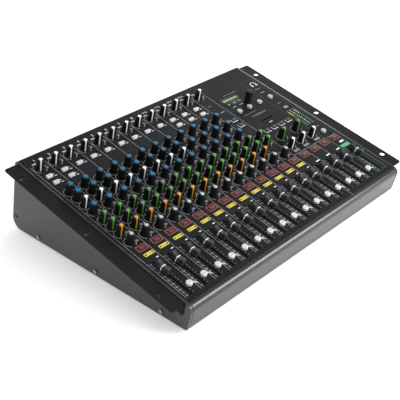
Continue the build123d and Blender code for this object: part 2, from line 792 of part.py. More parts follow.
def make_fader_housings():
    """Long cases with a slot along the top, in which the carriages run."""
    room = FADER_TRAVEL + CARRIAGE_LENGTH + 2 * FADER_SLOT_SPARE
    length = room + 2 * FADER_HOUSING_WALL
    height = FADER_HOUSING_TOP - BOARD_TOP
    wall = FADER_HOUSING_WALL
    with BuildPart() as housing:
        with BuildSketch(Plane.XY.offset(BOARD_TOP)):
            Rectangle(FADER_HOUSING_WIDTH, length)
        extrude(amount=height)
        with BuildSketch(Plane.XY.offset(BOARD_TOP + wall)):
            Rectangle(FADER_HOUSING_WIDTH - 2 * wall, room)
        extrude(amount=height - 2 * wall, mode=Mode.SUBTRACT)
        with BuildSketch(Plane.XY.offset(FADER_HOUSING_TOP)):
            Rectangle(FADER_SLOT_WIDTH, FADER_SLOT_LENGTH)
        extrude(amount=-2 * wall, mode=Mode.SUBTRACT)
    plane = panel_plane()
    case = housing.part.solid()
    solids = [plane.location * Location((x, s, 0)) * case for x, s in fader_slot_places()]
    finish("fader_housings", Compound(children=solids))


# ---- faders ----
def fader_cap():
    """A finger grip: raised at both ends, hollowed in the middle, narrower on top."""
    half = FADER_CAP_LENGTH / 2
    top = FADER_CAP_GAP + FADER_CAP_HEIGHT
    dip = top - FADER_CAP_DIP
    crest = half - FADER_CAP_END_LEAN
    side_x = FADER_CAP_WIDTH / 2
    with BuildPart() as cap:
        with BuildSketch(Plane.YZ):
            with BuildLine():
                Line((-half, FADER_CAP_GAP), (half, FADER_CAP_GAP))
                Line((half, FADER_CAP_GAP), (crest, top))
                ThreePointArc((crest, top), (0, dip), (-crest, top))
                Line((-crest, top), (-half, FADER_CAP_GAP))
            make_face()
        extrude(amount=FADER_CAP_WIDTH / 2, both=True)
        for side in (1, -1):
            with BuildSketch(Plane.XZ):
                with BuildLine():
                    Polyline(
                        (side * side_x, FADER_CAP_GAP + FADER_CAP_TAPER_START),
                        (side * FADER_CAP_WIDTH, FADER_CAP_GAP + FADER_CAP_TAPER_START),
                        (side * FADER_CAP_WIDTH, top),
                        (side * (side_x - FADER_CAP_TAPER), top),
                        close=True,
                    )
                make_face()
            extrude(amount=FADER_CAP_LENGTH, both=True, mode=Mode.SUBTRACT)
    return cap.part


def fader_carriage():
    """The slider block in the housing and the stem that carries the cap."""
    middle = (FADER_HOUSING_TOP + BOARD_TOP) / 2
    with BuildPart() as carriage:
        with BuildSketch(Plane.XY.offset(middle - CARRIAGE_HEIGHT / 2)):
            Rectangle(CARRIAGE_WIDTH, CARRIAGE_LENGTH)
        extrude(amount=CARRIAGE_HEIGHT)
        with BuildSketch(Plane.XY.offset(middle)):
            Rectangle(FADER_STEM_WIDTH, FADER_STEM_LENGTH)
        extrude(amount=FADER_CAP_GAP - middle)
    return carriage.part


def make_faders():
    plane = panel_plane()
    cap = fader_cap().solid()
    carriage = fader_carriage().solid()
    for index in range(COLUMN_COUNT):
        spot = plane.location * Location((fader_x(index), FADER_REST_S, 0))
        finish("fader_" + str(index + 1), Compound(children=[spot * cap, spot * carriage]))


# ---- display, meter and boards ----
def make_display_window():
    with BuildPart() as display:
        with BuildSketch(panel_plane(-DISPLAY_THICKNESS)):
            with Locations(DISPLAY_CENTRE):
                Rectangle(*DISPLAY_SIZE)
        extrude(amount=DISPLAY_THICKNESS)
    finish("display_window", display.part)


def make_level_meter():
    with BuildPart() as leds:
        with BuildSketch(panel_plane(METER_LED_HEIGHT)):
            with Locations(*meter_places()):
                Rectangle(*METER_LED)
        extrude(amount=-METER_LED_HEIGHT - SHEET)
    finish("level_meter", leds.part)


def make_main_board():
    with BuildPart() as board:
        with BuildSketch(panel_plane(BOARD_TOP)):
            with Locations((0, (BOARD_FRONT_S + BOARD_BACK_S) / 2)):
                Rectangle(BOARD_WIDTH, BOARD_BACK_S - BOARD_FRONT_S)
        extrude(amount=-BOARD_THICKNESS)
    finish("main_board", board.part)


def make_power_supply():
    """A board on four pillars with a transformer, two capacitors and a heat sink."""
    floor = FOOT_HEIGHT + SHEET
    top = floor + SUPPLY_STAND + BOARD_THICKNESS
    x, y = SUPPLY_CENTRE
    low = (Align.CENTER, Align.CENTER, Align.MIN)
    solids = []
    with BuildPart() as pillars:
        with Locations((x, y, floor)):
            with GridLocations(*[side - 2 * SUPPLY_PILLAR_INSET for side in SUPPLY_SIZE], 2, 2):
                Cylinder(SUPPLY_PILLAR_RADIUS, SUPPLY_STAND, align=low)
    solids += pillars.part.solids()
    with BuildPart() as board:
        with Locations((x, y, floor + SUPPLY_STAND)):
            Box(*SUPPLY_SIZE, BOARD_THICKNESS, align=low)
    solids += board.part.solids()
    with BuildPart() as transformer:
        with Locations((x + TRANSFORMER_X, y, top)):
            Box(*TRANSFORMER, align=low)
    solids += transformer.part.solids()
    with BuildPart() as capacitors:
        with Locations((x + CAPACITOR_X, y, top)):
            with GridLocations(0, CAPACITOR_PITCH, 1, 2):
                Cylinder(CAPACITOR_RADIUS, CAPACITOR_HEIGHT, align=low)
    solids += capacitors.part.solids()
    with BuildPart() as heat_sink:
        with Locations((x + HEAT_SINK_X, y, top)):
            Box(*HEAT_SINK, align=low)
    solids += heat_sink.part.solids()
    finish("power_supply", Compound(children=solids))


# ---- rear connectors ----
def make_xlr_sockets():
    with BuildPart() as sockets:
        with BuildSketch(rear_plane()):
            with Locations(*connector_places(XLR_ROW)):
                RectangleRounded(*XLR_FLANGE, radius=FLANGE_CORNER_RADIUS)
        extrude(amount=FLANGE_THICKNESS)
        with BuildSketch(rear_plane()):
            with Locations(*connector_places(XLR_ROW)):
                Circle(XLR_BODY_RADIUS)
        extrude(amount=-XLR_BODY_LENGTH)
        with BuildSketch(rear_plane(-FLANGE_THICKNESS)):
            with Locations(*connector_places(XLR_ROW)):
                with PolarLocations(XLR_PIN_CIRCLE, XLR_PIN_COUNT, start_angle=90):
                    Circle(XLR_PIN_HOLE)
        extrude(amount=-XLR_PIN_HOLE_DEPTH, mode=Mode.SUBTRACT)
    finish("xlr_sockets", sockets.part)


def make_jack_sockets():
    with BuildPart() as sockets:
        with BuildSketch(rear_plane()):
            with Locations(*connector_places(JACK_ROW)):
                RegularPolygon(JACK_NUT_RADIUS, JACK_NUT_SIDES)
        extrude(amount=JACK_NUT_THICKNESS)
        with BuildSketch(rear_plane()):
            with Locations(*connector_places(JACK_ROW)):
                Circle(JACK_NOSE_RADIUS)
        extrude(amount=-SHEET)
        with BuildSketch(rear_plane(SHEET)):
            with Locations(*connector_places(JACK_ROW)):
                Rectangle(*JACK_BODY)
        extrude(amount=-JACK_BODY_LENGTH)
        with BuildSketch(rear_plane(-JACK_NUT_THICKNESS)):
            with Locations(*connector_places(JACK_ROW)):
                Circle(JACK_BORE_RADIUS)
        extrude(amount=-JACK_BODY_LENGTH, mode=Mode.SUBTRACT)
    finish("jack_sockets", sockets.part)


def make_power_inlet():
    spot = rear_place(INLET_X, INLET_ROW)
    pins = [(spot[0] + INLET_PIN_PITCH * step, spot[1] - INLET_PIN_STAGGER) for step in (-1, 1)]
    pins.append((spot[0], spot[1] + INLET_PIN_STAGGER))
    with BuildPart() as inlet:
        with BuildSketch(rear_plane()):
            with Locations(spot):
                RectangleRounded(*INLET_FLANGE, radius=FLANGE_CORNER_RADIUS)
        extrude(amount=FLANGE_THICKNESS)
        with BuildSketch(rear_plane()):
            with Locations(spot):
                Rectangle(*INLET_CASE)
        extrude(amount=-INLET_LENGTH)
        with BuildSketch(rear_plane(-FLANGE_THICKNESS)):
            with Locations(spot):
                Rectangle(*INLET_CAVITY)
        extrude(amount=-INLET_LENGTH, mode=Mode.SUBTRACT)
        with BuildSketch(rear_plane(INLET_LENGTH - FLANGE_THICKNESS)):
            with Locations(*pins):
                Rectangle(*INLET_PIN)
        extrude(amount=INLET_LENGTH - INLET_PIN_INSET)
    finish("power_inlet", inlet.part)


def make_power_rocker():
    """Made square about its pivot line, then leaned to its off side."""
    with BuildPart() as rocker:
        with BuildSketch(Plane.XY.offset(ROCKER_PIVOT_DEPTH - ROCKER_DEPTH)):
            Rectangle(*ROCKER_SIZE)
        extrude(amount=ROCKER_DEPTH + ROCKER_PROUD)
    pivot = Location((*rear_place(INLET_X, ROCKER_ROW), -ROCKER_PIVOT_DEPTH))
    lean = Location((0, 0, 0), (ROCKER_TILT, 0, 0))
    finish("power_rocker", rear_plane().location * pivot * lean * rocker.part)


os.makedirs("parts", exist_ok=True)
make_control_panel()
make_front_fascia()
make_rear_panel()
make_base_plate()
make_cheek("left_cheek", -1)
make_cheek("right_cheek", 1)
make_rack_ear("rack_ear_left", -1)
make_rack_ear("rack_ear_right", 1)
make_feet()
make_screws()
make_first_strip_knobs()
make_grouped_knobs()
make_master_knobs()
make_buttons()
make_control_housings()
make_fader_housings()
make_faders()
make_display_window()
make_level_meter()
make_main_board()
make_power_supply()
make_xlr_sockets()
make_jack_sockets()
make_power_inlet()
make_power_rocker()
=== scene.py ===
import json
import math

import bmesh
import bpy
from mathutils import Matrix, Vector


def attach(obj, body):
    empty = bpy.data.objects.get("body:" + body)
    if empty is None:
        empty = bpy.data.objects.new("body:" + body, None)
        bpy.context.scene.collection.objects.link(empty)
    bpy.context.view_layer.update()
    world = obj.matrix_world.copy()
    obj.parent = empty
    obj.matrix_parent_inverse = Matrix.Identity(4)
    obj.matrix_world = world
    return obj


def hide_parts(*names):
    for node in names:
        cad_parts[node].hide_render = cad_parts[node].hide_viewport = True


# The looks of a mixing console. Shapes are made in the panel's own frame, in millimetres:
# x across, s up the slope and h above the panel's face. PANEL takes them to the row frame.

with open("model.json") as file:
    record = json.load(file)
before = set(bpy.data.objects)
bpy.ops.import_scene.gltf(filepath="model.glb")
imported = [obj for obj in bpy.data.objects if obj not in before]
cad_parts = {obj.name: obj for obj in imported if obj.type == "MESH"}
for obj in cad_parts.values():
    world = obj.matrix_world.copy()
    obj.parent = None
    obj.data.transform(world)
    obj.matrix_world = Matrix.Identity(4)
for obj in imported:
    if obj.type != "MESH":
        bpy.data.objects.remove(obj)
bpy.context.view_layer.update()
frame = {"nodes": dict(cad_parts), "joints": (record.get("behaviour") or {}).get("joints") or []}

PANEL_FRONT_S = 19.0        # where the flat panel begins up the slope
PRINT_LOW = -0.02
PRINT_HIGH = 0.05
LINE = 0.55                 # width of a printed line
CAMERA_PLACE = Vector((-0.7611, -0.6731, 0.6312))
CAMERA_YAW = 47.585
CAMERA_PITCH = 31.157
CAMERA_ROLL = 0.326
CAMERA_LENS = 75.41
SENSOR_WIDTH = 36.0

WHITE = (0.84, 0.85, 0.86)
PALE = (0.42, 0.45, 0.45)
BLUE = (0.006, 0.125, 0.245)
GREEN = (0.080, 0.30, 0.040)
ORANGE = (0.62, 0.26, 0.006)
SEVEN_O_CLOCK = 210.0
TWELVE_O_CLOCK = 0.0


def find_panel():
    """The matrix from panel millimetres to the row frame, read from a fader's axis and the panel."""
    joint = next(j for j in frame["joints"] if j["name"] == "fader_1_slide")
    slope = Vector(joint["axis"]).normalized()
    across = Vector((1, 0, 0))
    normal = across.cross(slope)
    corners = [v.co for v in frame["nodes"]["control_panel"].data.vertices]
    origin = slope * (min(c.dot(slope) for c in corners) - PANEL_FRONT_S / 1000)
    origin += normal * max(c.dot(normal) for c in corners)
    turn = Matrix((across, slope, normal)).transposed().to_4x4()
    return Matrix.Translation(origin) @ turn @ Matrix.Scale(0.001, 4)


PANEL = find_panel()
TO_PANEL = PANEL.inverted()


def solid_boxes(node):
    """The (low, high) corners of each separate solid of a CAD node, in panel millimetres."""
    bm = bmesh.new()
    bm.from_mesh(frame["nodes"][node].data)
    bmesh.ops.remove_doubles(bm, verts=bm.verts, dist=1e-6)
    left = set(bm.verts)
    boxes = []
    while left:
        first = left.pop()
        waiting, found = [first], [first]
        while waiting:
            for edge in waiting.pop().link_edges:
                for vert in edge.verts:
                    if vert in left:
                        left.remove(vert)
                        waiting.append(vert)
                        found.append(vert)
        points = [TO_PANEL @ vert.co for vert in found]
        low = Vector([min(p[k] for p in points) for k in range(3)])
        high = Vector([max(p[k] for p in points) for k in range(3)])
        boxes.append((low, high))
    bm.free()
    return sorted(boxes, key=lambda box: (round(box[0].y), box[0].x))


def middle(box):
    return (box[0] + box[1]) / 2


def top_boxes(node):
    """Only the solids that reach the node's full height, such as knobs without their shafts."""
    boxes = solid_boxes(node)
    top = max(box[1].z for box in boxes)
    return [box for box in boxes if box[1].z > top - 1]


# ---- materials ----
def new_material(name, colour, roughness, metallic=0.0, specular=0.5):
    material = bpy.data.materials.new(name)
    material.use_nodes = True
    shader = material.node_tree.nodes["Principled BSDF"]
    shader.inputs["Base Color"].default_value = (*colour, 1)
    shader.inputs["Roughness"].default_value = roughness
    shader.inputs["Metallic"].default_value = metallic
    shader.inputs["Specular IOR Level"].default_value = specular
    return material


def noise(material, scale, detail):
    nodes, links = material.node_tree.nodes, material.node_tree.links
    place = nodes.new("ShaderNodeTexCoord")
    texture = nodes.new("ShaderNodeTexNoise")
    texture.inputs["Scale"].default_value = scale
    texture.inputs["Detail"].default_value = detail
    links.new(place.outputs["Object"], texture.inputs["Vector"])
    return texture.outputs["Fac"]


def spread(material, source, low, high):
    """The noise stretched to run from low to high."""
    nodes, links = material.node_tree.nodes, material.node_tree.links
    ramp = nodes.new("ShaderNodeMapRange")
    ramp.inputs["From Min"].default_value = 0.3
    ramp.inputs["From Max"].default_value = 0.7
    ramp.inputs["To Min"].default_value = low
    ramp.inputs["To Max"].default_value = high
    links.new(source, ramp.inputs["Value"])
    return ramp.outputs["Result"]


def tint(material, source, colour, change):
    """The colour, varied a little darker and lighter by the noise."""
    nodes, links = material.node_tree.nodes, material.node_tree.links
    mix = nodes.new("ShaderNodeMix")
    mix.data_type = "RGBA"
    mix.inputs["A"].default_value = (*[c * (1 - change) for c in colour], 1)
    mix.inputs["B"].default_value = (*[min(1, c * (1 + change)) for c in colour], 1)
    links.new(source, mix.inputs["Factor"])
    links.new(mix.outputs["Result"], nodes["Principled BSDF"].inputs["Base Color"])


def bump(material, source, height, strength):
    nodes, links = material.node_tree.nodes, material.node_tree.links
    node = nodes.new("ShaderNodeBump")
    node.inputs["Strength"].default_value = strength
    node.inputs["Distance"].default_value = height
    links.new(source, node.inputs["Height"])
    links.new(node.outputs["Normal"], nodes["Principled BSDF"].inputs["Normal"])


def powder_coat(name, colour, roughness, texture_height=0.00004, specular=0.5):
    """Sprayed and baked paint with a fine orange-peel texture."""
    material = new_material(name, colour, roughness, specular=specular)
    grain = noise(material, 1400, 3)
    cloud = noise(material, 9, 2)
    shader = material.node_tree.nodes["Principled BSDF"]
    tint(material, spread(material, cloud, 0, 1), colour, 0.06)
    rough = spread(material, grain, roughness - 0.06, roughness + 0.06)
    material.node_tree.links.new(rough, shader.inputs["Roughness"])
    bump(material, grain, texture_height, 0.5)
    return material


def moulded(name, colour, roughness, change=0.05, specular=0.5):
    """Injection-moulded plastic with a faint spark-eroded skin."""
    material = new_material(name, colour, roughness, specular=specular)
    skin = noise(material, 2600, 2)
    shader = material.node_tree.nodes["Principled BSDF"]
    tint(material, spread(material, noise(material, 60, 2), 0, 1), colour, change)
    rough = spread(material, skin, roughness - 0.05, roughness + 0.07)
    material.node_tree.links.new(rough, shader.inputs["Roughness"])
    bump(material, skin, 0.00001, 0.4)
    return material


def ink(name, colour):
    """Screen-printed ink, slightly uneven in its cover."""
    material = new_material(name, colour, 0.55)
    tint(material, spread(material, noise(material, 700, 2), 0, 1), colour, 0.10)
    return material


def glowing(name, colour, strength):
    """A diffused lens with a little light behind it."""
    material = moulded(name, colour, 0.3)
    shader = material.node_tree.nodes["Principled BSDF"]
    shader.inputs["Emission Color"].default_value = (*colour, 1)
    shader.inputs["Emission Strength"].default_value = strength
    return material


def metal(name, colour, roughness):
    material = new_material(name, colour, roughness, metallic=1.0)
    scratches = noise(material, 900, 4)
    rough = spread(material, scratches, roughness - 0.08, roughness + 0.12)
    shader = material.node_tree.nodes["Principled BSDF"]
    material.node_tree.links.new(rough, shader.inputs["Roughness"])
    tint(material, spread(material, scratches, 0, 1), colour, 0.08)
    return material


panel_coat = powder_coat("panel_coat", (0.0080, 0.0083, 0.0095), 0.52, specular=0.10)
chassis_coat = powder_coat("chassis_coat", (0.034, 0.0345, 0.036), 0.26, 0.00001, specular=0.45)
# The fascia has the cheeks' grey paint, but its colour here is made about three times darker than
# chassis_coat as painted shade.
nose_shaded_coat = powder_coat("nose_shaded_coat", (0.011, 0.0112, 0.0120), 0.27, 0.00001, specular=0.62)
ear_coat = powder_coat("ear_coat", (0.0080, 0.0080, 0.0088), 0.52, specular=0.10)
rear_coat = powder_coat("rear_coat", (0.028, 0.028, 0.030), 0.48)
base_coat = powder_coat("base_coat", (0.050, 0.050, 0.053), 0.45)
knob_black = moulded("knob_black", (0.006, 0.006, 0.007), 0.45, specular=0.25)
cap_grey = moulded("cap_grey", (0.028, 0.029, 0.031), 0.36, specular=0.4)
socket_black = moulded("socket_black", (0.018, 0.018, 0.020), 0.40)
housing_grey = moulded("housing_grey", (0.10, 0.10, 0.11), 0.50)
button_white = moulded("button_white", (0.58, 0.59, 0.61), 0.35, 0.03)
button_pale = moulded("button_pale", (0.36, 0.37, 0.37), 0.35, 0.03)
button_grey = moulded("button_grey", (0.16, 0.18, 0.19), 0.40)
button_dark = moulded("button_dark", (0.016, 0.016, 0.018), 0.38)
rubber = moulded("rubber", (0.012, 0.012, 0.012), 0.75)
board_green = moulded("board_green", (0.01, 0.10, 0.04), 0.35)
screw_metal = metal("screw_metal", (0.30, 0.30, 0.32), 0.25)
mute_red = glowing("mute_red", (0.050, 0.006, 0.007), 0.06)
ink_white = ink("ink_white", (0.72, 0.74, 0.75))
ink_line = ink("ink_line", (0.34, 0.35, 0.36))
ink_grey = ink("ink_grey", (0.20, 0.21, 0.21))
ink_mauve = ink("ink_mauve", (0.42, 0.34, 0.42))
ink_red = ink("ink_red", (0.36, 0.085, 0.075))
ink_dark_red = ink("ink_dark_red", (0.040, 0.004, 0.004))
ink_yellow = ink("ink_yellow", (0.66, 0.55, 0.05))
ink_green = ink("ink_green", (0.10, 0.30, 0.16))
ink_dark_green = ink("ink_dark_green", (0.022, 0.070, 0.035))
ink_black = ink("ink_black", (0.004, 0.004, 0.005))


# ---- shapes ----
def ring_points(outline, height):
    return [(x, s, height) for x, s in outline]


def stack(bm, rings, close_low=True, close_high=True):
    """Skins a list of rings that all have the same number of points, and caps the ends."""
    rows = [[bm.verts.new(point) for point in ring] for ring in rings]
    count = len(rows[0])
    for lower, upper in zip(rows, rows[1:]):
        for i in range(count):
            j = (i + 1) % count
            bm.faces.new((lower[i], lower[j], upper[j], upper[i]))
    if close_low:
        bm.faces.new(list(reversed(rows[0])))
    if close_high:
        bm.faces.new(rows[-1])


def prism(bm, outline, low, high):
    stack(bm, [ring_points(outline, low), ring_points(outline, high)])


def rectangle(x, s, width, length):
    a, b = width / 2, length / 2
    return [(x - a, s - b), (x + a, s - b), (x + a, s + b), (x - a, s + b)]


def rounded(x, s, width, length, radius, steps=4):
    """A rectangle with round corners, counter-clockwise."""
    points = []
    corners = ((1, -1, -90), (1, 1, 0), (-1, 1, 90), (-1, -1, 180))
    for side, end, start in corners:
        centre_x = x + side * (width / 2 - radius)
        centre_s = s + end * (length / 2 - radius)
        for step in range(steps + 1):
            angle = math.radians(start + 90 * step / steps)
            points.append((centre_x + radius * math.cos(angle), centre_s + radius * math.sin(angle)))
    return points


def circle(x, s, radius, sides=32):
    turns = [2 * math.pi * i / sides for i in range(sides)]
    return [(x + radius * math.cos(a), s + radius * math.sin(a)) for a in turns]


def frame_strip(bm, outer, inner):
    """A flat printed band between two outlines with the same number of points."""
    rings = [ring_points(inner, PRINT_LOW), ring_points(outer, PRINT_LOW),
             ring_points(outer, PRINT_HIGH), ring_points(inner, PRINT_HIGH)]
    rings.append(rings[0])
    rows = [[bm.verts.new(point) for point in ring] for ring in rings[:4]]
    rows.append(rows[0])
    count = len(outer)
    for lower, upper in zip(rows, rows[1:]):
        for i in range(count):
            j = (i + 1) % count
            bm.faces.new((lower[i], lower[j], upper[j], upper[i]))


def print_box(bm, x, s, width, length, line=LINE):
    """A printed rectangular frame with round corners, measured over its outside."""
    corner = 0.9
    outer = rounded(x, s, width, length, corner)
    inner = rounded(x, s, width - 2 * line, length - 2 * line, max(0.1, corner - line))
    frame_strip(bm, outer, inner)


def print_line(bm, start, end, width=LINE):
    a, b = Vector(start), Vector(end)
    side = (b - a).normalized().orthogonal() * width / 2
    outline = [tuple(a - side), tuple(b - side), tuple(b + side), tuple(a + side)]
    if side.cross(b - a) > 0:
        outline.reverse()
    prism(bm, outline, PRINT_LOW, PRINT_HIGH)


def clock_point(x, s, radius, degrees):
    """A place round a knob; degrees run clockwise from 12 o'clock."""
    angle = math.radians(degrees)
    return (x + radius * math.sin(angle), s + radius * math.cos(angle))


def print_arc(bm, x, s, radius, start, end, width=LINE, steps=26):
    turns = [start + (end - start) * i / steps for i in range(steps + 1)]
    outer = [clock_point(x, s, radius + width / 2, turn) for turn in turns]
    inner = [clock_point(x, s, radius - width / 2, turn) for turn in turns]
    for i in range(steps):
        outline = [outer[i], inner[i], inner[i + 1], outer[i + 1]]
        prism(bm, outline, PRINT_LOW, PRINT_HIGH)
    bmesh.ops.remove_doubles(bm, verts=bm.verts[-8 * steps:], dist=1e-5)


def print_text(bm, text, x, s, height):
    """A number, printed centred on its place."""
    curve = bpy.data.curves.new("number", "FONT")
    curve.body = text
    curve.size = height * 1.4
    curve.align_x = "CENTER"
    curve.align_y = "CENTER"
    curve.extrude = PRINT_HIGH / 2
    thing = bpy.data.objects.new("number", curve)
    bpy.context.scene.collection.objects.link(thing)
    bpy.context.view_layer.update()
    mesh = bpy.data.meshes.new_from_object(thing.evaluated_get(bpy.context.evaluated_depsgraph_get()))
    mesh.transform(Matrix.Translation((x, s, PRINT_HIGH / 2)))
    bm.from_mesh(mesh)
    bpy.data.objects.remove(thing)
    bpy.data.meshes.remove(mesh)


def make_piece(name, bm, material, body, sharp=35.0, smooth=True):
    """Turns panel millimetres into a piece of the object that rides on a body."""
    bmesh.ops.recalc_face_normals(bm, faces=bm.faces)
    mesh = bpy.data.meshes.new(name)
    bm.to_mesh(mesh)
    bm.free()
    mesh.transform(PANEL)
    mesh.materials.append(material)
    if smooth:
        mesh.shade_smooth()
        mesh.set_sharp_from_angle(angle=math.radians(sharp))
    piece = bpy.data.objects.new(name, mesh)
    bpy.context.scene.collection.objects.link(piece)
    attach(piece, body)
    return piece


def dress(names, material):
    """Gives CAD nodes their material."""
    for name in names:
        node = frame["nodes"][name]
        node.data.materials.clear()
        node.data.materials.append(material)


# ---- knobs ----
FLUTES = 18
STEPS_PER_FLUTE = 4
FLUTE_DEPTH = 0.32
KNOB_TAPER = 0.80            # a knob's top radius over its base radius
STRAIGHT_TAPER = 0.97        # the same for the encoder
POINTER_WIDTH = 1.6
INSERT_RADIUS = 2.55
WIDE_INSERT_RADIUS = 3.3       # the blue tops


def knob_radii(box):
    """Base and top radius, and height, from the CAD solid."""
    base = (box[1].x - box[0].x) / 2
    return base, base * KNOB_TAPER, box[1].z


def add_knob(bm, box, straight=False):
    """A tapered grip with flutes, on a skirt, with a softened top edge."""
    x, s = middle(box).xy
    base, top, height = knob_radii(box)
    if straight:
        top = base * STRAIGHT_TAPER
    low = box[0].z
    levels = [(base, low, 0), (base, low + 1.0, 0), (base * 0.975, low + 1.5, 0),
              (base * 0.93, low + 1.9, 0), (base * 0.93, low + 2.3, 1),
              (top + 0.15, height - 1.1, 1), (top, height - 0.7, 0.4),
              (top - 0.25, height - 0.25, 0), (top - 0.75, height, 0)]
    sides = FLUTES * STEPS_PER_FLUTE
    rings = []
    for radius, level, depth in levels:
        ring = []
        for i in range(sides):
            angle = 2 * math.pi * i / sides
            groove = FLUTE_DEPTH * depth if i % STEPS_PER_FLUTE == 0 else 0.0
            reach = radius - groove
            ring.append((x + reach * math.cos(angle), s + reach * math.sin(angle), level))
        rings.append(ring)
    stack(bm, rings)


def add_pointer(bm, box, degrees, insert):
    """The coloured disc on a knob's top and the rib from it down the knob's side."""
    x, s = middle(box).xy
    base, top, height = knob_radii(box)
    disc = [(insert, height - 0.4), (insert, height + 0.3),
            (insert - 0.25, height + 0.5), (insert - 0.9, height + 0.6)]
    stack(bm, [ring_points(circle(x, s, radius, 28), level) for radius, level in disc])
    foot = box[0].z + 1.9
    rib = [(insert - 0.6, height - 0.4), (top - 1.2, height - 1.6), (base * 0.93 - 0.8, foot),
           (base * 0.93 + 0.35, foot), (top + 0.45, height - 0.9), (top + 0.25, height - 0.1),
           (top - 0.3, height + 0.3), (insert - 0.6, height + 0.45)]
    angle = math.radians(degrees)
    out = Vector((math.sin(angle), math.cos(angle)))
    side = Vector((-out.y, out.x)) * POINTER_WIDTH / 2
    rings = []
    for edge, inset in ((-1.0, 0.25), (-0.8, 0.0), (0.8, 0.0), (1.0, 0.25)):
        ring = []
        for radius, level in rib:
            outer = radius - inset if radius > insert else radius
            place = out * outer + side * edge
            ring.append((x + place.x, s + place.y, level - (inset if level > height else 0)))
        rings.append(ring)
    stack(bm, rings)


def make_knobs(nodes, colour_of, body):
    """Knobs and pointers in place of CAD nodes; colour_of gives a box its colour and angle."""
    boxes = [box for node in nodes for box in top_boxes(node)]
    grips = bmesh.new()
    by_colour = {}
    for box in boxes:
        colour, degrees = colour_of(box)
        straight = colour == "none"
        add_knob(grips, box, straight)
        if not straight:
            insert = WIDE_INSERT_RADIUS if colour == "blue" else INSERT_RADIUS
            add_pointer(by_colour.setdefault(colour, bmesh.new()), box, degrees, insert)
    grip = make_piece(nodes[0] + "_grip", grips, knob_black, body, sharp=40)
    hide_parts(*nodes)
    for colour, bm in sorted(by_colour.items()):
        make_piece(nodes[0] + "_pointer_" + colour, bm, POINTER_MATERIALS[colour], body)


POINTER_MATERIALS = {
    "white": moulded("pointer_white", WHITE, 0.35, 0.03),
    "pale": moulded("pointer_pale", PALE, 0.35, 0.03),
    "blue": moulded("pointer_blue", BLUE, 0.40, 0.04, 0.25),
    "green": moulded("pointer_green", GREEN, 0.38, 0.04, 0.3),
    "orange": moulded("pointer_orange", ORANGE, 0.38, 0.04, 0.3),
}

row_s = {name: middle(top_boxes(name)[0]).y for name in ("tone_knob_3", "send_knob_3", "pan_knob_1")}


def near(box, name):
    return abs(middle(box).y - row_s[name]) < 2


# Each look takes a knob's box and gives its pointer's colour and angle.
def gain_look(box):
    return "white", SEVEN_O_CLOCK


def tone_look(box):
    """The swept-middle frequency knob of a mono column is white; the others are blue."""
    return ("white", SEVEN_O_CLOCK) if near(box, "tone_knob_3") else ("blue", TWELVE_O_CLOCK)


def send_look(box):
    if near(box, "pan_knob_1"):
        return "pale", TWELVE_O_CLOCK
    return ("orange" if near(box, "send_knob_3") else "green"), SEVEN_O_CLOCK


def monitor_look(box):
    return "green", SEVEN_O_CLOCK


def encoder_look(box):
    return "none", 0


def make_all_knobs():
    make_knobs(["gain_knobs"], gain_look, "console")
    make_knobs(["tone_knobs"], tone_look, "console")
    make_knobs(["send_knobs"], send_look, "console")
    make_knobs(["gain_knob_1"], gain_look, "gain_knob_1")
    for number in range(1, 5):
        make_knobs([f"tone_knob_{number}"], tone_look, f"tone_knob_{number}")
    for number in range(1, 4):
        make_knobs([f"send_knob_{number}"], send_look, f"send_knob_{number}")
        make_knobs([f"output_knob_{number}"], gain_look, f"output_knob_{number}")
    make_knobs(["pan_knob_1"], send_look, "pan_knob_1")
    for number in (1, 2):
        make_knobs([f"monitor_knob_{number}"], monitor_look, f"monitor_knob_{number}")
    make_knobs(["encoder_knob"], encoder_look, "encoder_knob")


# ---- buttons ----
def crowned(bm, outline_of, low, top, edge):
    """A button cap: straight sides, a rounded top edge and a slightly raised middle."""
    levels = [(0.0, low), (0.0, top - edge), (edge * 0.3, top - edge * 0.35), (edge, top - 0.06),
              (edge * 2.2, top)]
    stack(bm, [ring_points(outline_of(inset), level) for inset, level in levels])


def rectangular_cap(bm, box, edge=0.45):
    x, s = middle(box).xy
    width, length = (box[1] - box[0]).xy

    def outline_of(inset):
        return rounded(x, s, width - 2 * inset, length - 2 * inset, max(0.25, 0.8 - inset * 0.5))

    crowned(bm, outline_of, box[0].z, box[1].z, edge)


def round_cap(bm, box, edge=0.5):
    x, s = middle(box).xy
    radius = (box[1].x - box[0].x) / 2

    def outline_of(inset):
        return circle(x, s, radius - inset)

    crowned(bm, outline_of, box[0].z, box[1].z, edge)


def make_buttons(node, cap, material):
    bm = bmesh.new()
    for box in solid_boxes(node):
        cap(bm, box)
    piece = make_piece(node + "_caps", bm, material, node, sharp=50)
    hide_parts(node)


def make_button_marks():
    """Two plain bars on each cap, in place of its legend."""
    for node, width, material in (("channel_buttons", 4.6, ink_grey), ("solo_buttons", 3.6, ink_grey),
                                  ("effects_buttons", 3.6, ink_grey), ("mute_buttons", 6.0, ink_red)):
        bm = bmesh.new()
        for box in solid_boxes(node):
            x, s = middle(box).xy
            top = box[1].z
            for shift in (-0.75, 0.75):
                prism(bm, rectangle(x, s + shift, width, 0.5), top - 0.1, top + 0.04)
        make_piece(node + "_marks", bm, material, node, smooth=False)


def make_all_buttons():
    make_buttons("channel_buttons", rectangular_cap, button_white)
    make_buttons("solo_buttons", round_cap, button_white)
    make_buttons("effects_buttons", round_cap, button_pale)
    make_buttons("mute_buttons", rectangular_cap, mute_red)
    make_buttons("transport_buttons", rectangular_cap, button_dark)
    make_button_marks()


# ---- faders ----
CAP_TAPER = 2.0
CAP_DIP = 2.6
CAP_STEPS = 16


def saddle(along, half, dip):
    """How far the top lies under its crests, at a place from -1 to 1 along the cap."""
    return dip * (1 - (along / half) ** 2) if abs(along) < half else 0.0


